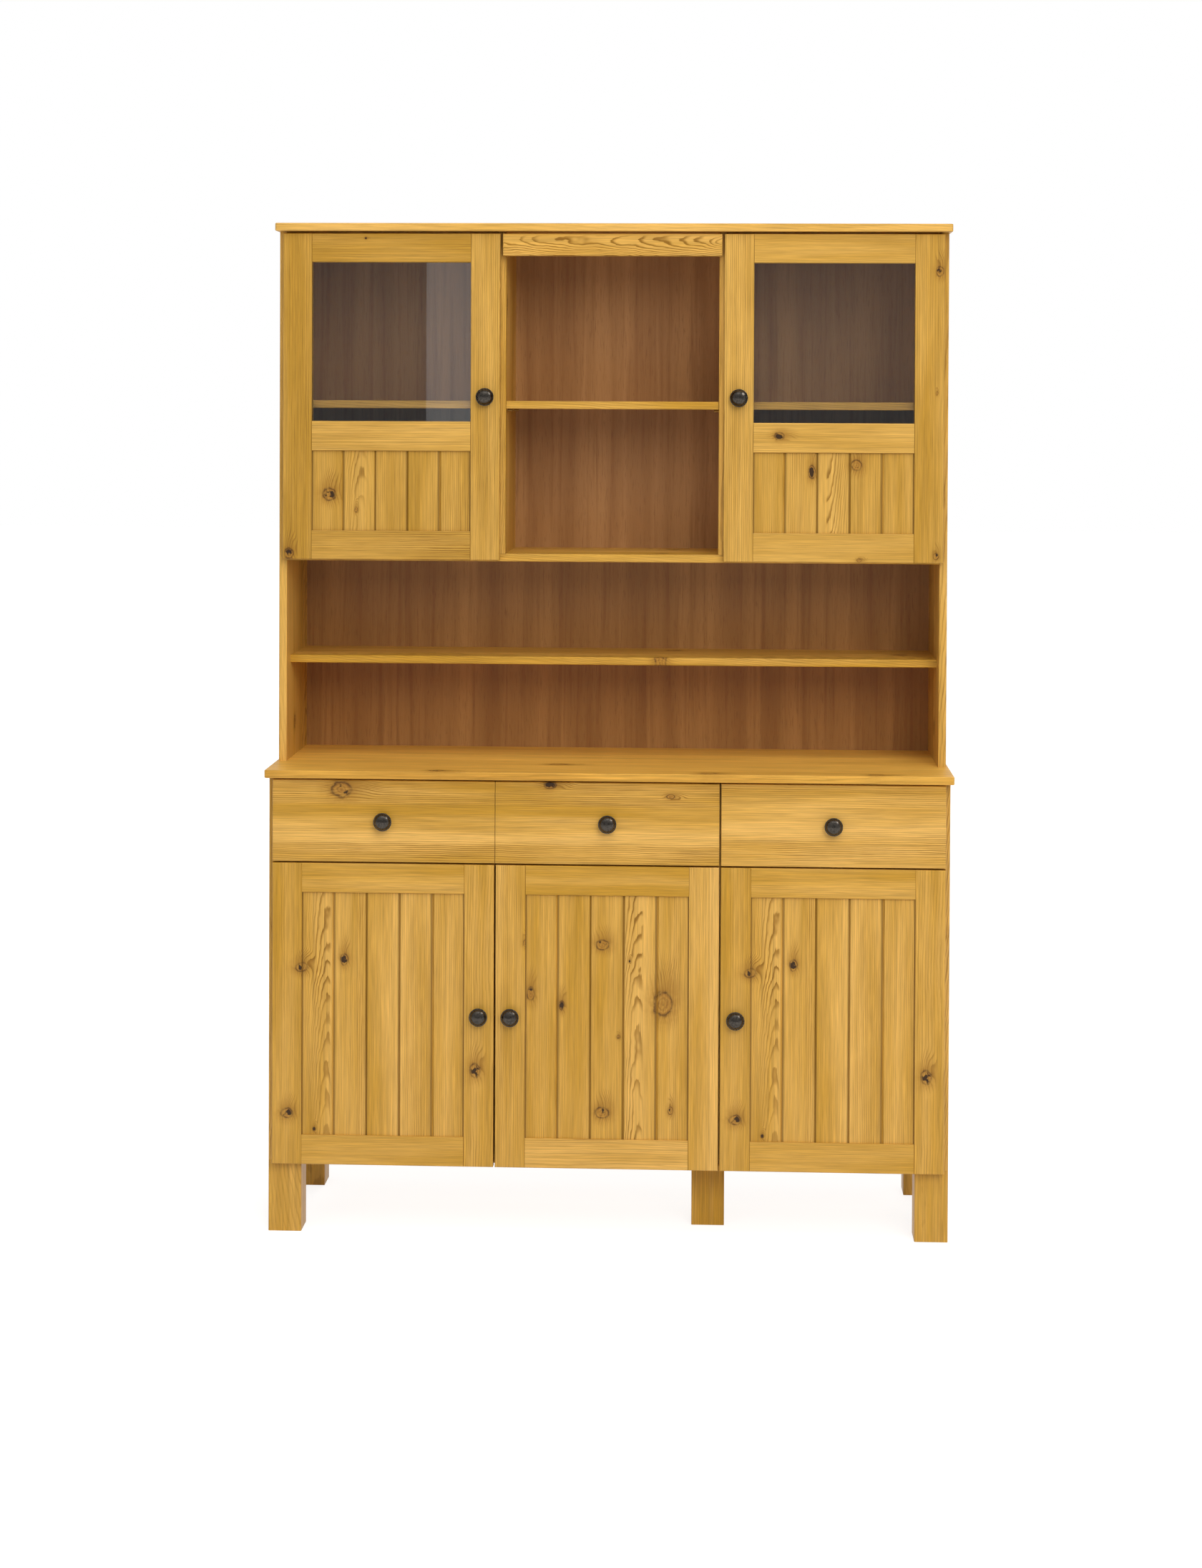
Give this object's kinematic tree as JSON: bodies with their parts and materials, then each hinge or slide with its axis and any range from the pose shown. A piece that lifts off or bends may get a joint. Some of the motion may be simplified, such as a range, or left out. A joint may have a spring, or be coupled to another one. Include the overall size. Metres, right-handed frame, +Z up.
{
  "type": "dresser with hutch",
  "caption": "Knotty pine dresser with a hutch: drawers over panelled doors below, open shelf bays, and a glazed cabinet on top.",
  "frame": {"origin": "on the floor, under the middle of the whole dresser's box", "axes": "+X to the right of someone facing it, +Y back to the wall, +Z up"},
  "size_m": [1.28, 0.408, 1.895],
  "materials": {
    "lacquered_pine": "honey lacquer, satin, with knots and grain",
    "printed_fibreboard": "brown wood print, matt",
    "drawer_pine": "sanded, pale",
    "clear_glass": "clear float glass",
    "dark_bronze": "dark burnished metal",
    "nickel_steel": "nickel plated"
  },
  "bodies": {
    "carcass": {"legs": "lacquered_pine", "base_sides": "lacquered_pine", "base_partition": "lacquered_pine", "base_bottom": "lacquered_pine", "drawer_deck": "lacquered_pine", "drawer_divider": "lacquered_pine", "base_shelves": "lacquered_pine", "base_back": "printed_fibreboard", "drawer_runners": "drawer_pine", "countertop": "lacquered_pine", "hutch_sides": "lacquered_pine", "hutch_partitions": "lacquered_pine", "hutch_floor": "lacquered_pine", "hutch_shelves": "lacquered_pine", "hutch_back": "printed_fibreboard", "hutch_top": "lacquered_pine", "valance": "lacquered_pine", "hinge_arms": "nickel_steel", "shelf_pins": "nickel_steel"},
    "drawer_left": {"drawer_left_front": "lacquered_pine", "drawer_left_box": "drawer_pine", "drawer_left_bottom": "drawer_pine", "drawer_left_knob": "dark_bronze"},
    "drawer_middle": {"drawer_middle_front": "lacquered_pine", "drawer_middle_box": "drawer_pine", "drawer_middle_bottom": "drawer_pine", "drawer_middle_knob": "dark_bronze"},
    "drawer_right": {"drawer_right_front": "lacquered_pine", "drawer_right_box": "drawer_pine", "drawer_right_bottom": "drawer_pine", "drawer_right_knob": "dark_bronze"},
    "base_door_left": {"base_door_left_stiles": "lacquered_pine", "base_door_left_rails": "lacquered_pine", "base_door_left_boards": "lacquered_pine", "base_door_left_knob": "dark_bronze", "base_door_left_hinge_cups": "nickel_steel"},
    "base_door_middle": {"base_door_middle_stiles": "lacquered_pine", "base_door_middle_rails": "lacquered_pine", "base_door_middle_boards": "lacquered_pine", "base_door_middle_knob": "dark_bronze", "base_door_middle_hinge_cups": "nickel_steel"},
    "base_door_right": {"base_door_right_stiles": "lacquered_pine", "base_door_right_rails": "lacquered_pine", "base_door_right_boards": "lacquered_pine", "base_door_right_knob": "dark_bronze", "base_door_right_hinge_cups": "nickel_steel"},
    "hutch_door_left": {"hutch_door_left_stiles": "lacquered_pine", "hutch_door_left_rails": "lacquered_pine", "hutch_door_left_boards": "lacquered_pine", "hutch_door_left_knob": "dark_bronze", "hutch_door_left_hinge_cups": "nickel_steel", "hutch_door_left_glass": "clear_glass", "hutch_door_left_beads": "lacquered_pine"},
    "hutch_door_right": {"hutch_door_right_stiles": "lacquered_pine", "hutch_door_right_rails": "lacquered_pine", "hutch_door_right_boards": "lacquered_pine", "hutch_door_right_knob": "dark_bronze", "hutch_door_right_hinge_cups": "nickel_steel", "hutch_door_right_glass": "clear_glass", "hutch_door_right_beads": "lacquered_pine"}
  },
  "joints": [
    {"name": "drawer_left_slide", "type": "slide", "parent": "carcass", "child": "drawer_left", "axis": [0, -1, 0], "range_m": [0, 0.25]},
    {"name": "drawer_middle_slide", "type": "slide", "parent": "carcass", "child": "drawer_middle", "axis": [0, -1, 0], "range_m": [0, 0.25]},
    {"name": "drawer_right_slide", "type": "slide", "parent": "carcass", "child": "drawer_right", "axis": [0, -1, 0], "range_m": [0, 0.25]},
    {"name": "base_door_left_hinge", "type": "hinge", "parent": "carcass", "child": "base_door_left", "pos_m": [-0.624, -0.178, 0.41375], "axis": [0, 0, -1], "range_deg": [0, 100]},
    {"name": "base_door_middle_hinge", "type": "hinge", "parent": "carcass", "child": "base_door_middle", "pos_m": [0.20567, -0.178, 0.41375], "axis": [0, 0, 1], "range_deg": [0, 100]},
    {"name": "base_door_right_hinge", "type": "hinge", "parent": "carcass", "child": "base_door_right", "pos_m": [0.624, -0.178, 0.41375], "axis": [0, 0, 1], "range_deg": [0, 100]},
    {"name": "hutch_door_left_hinge", "type": "hinge", "parent": "carcass", "child": "hutch_door_left", "pos_m": [-0.624, -0.07, 1.5665], "axis": [0, 0, -1], "range_deg": [0, 100]},
    {"name": "hutch_door_right_hinge", "type": "hinge", "parent": "carcass", "child": "hutch_door_right", "pos_m": [0.624, -0.07, 1.5665], "axis": [0, 0, 1], "range_deg": [0, 100]}
  ]
}
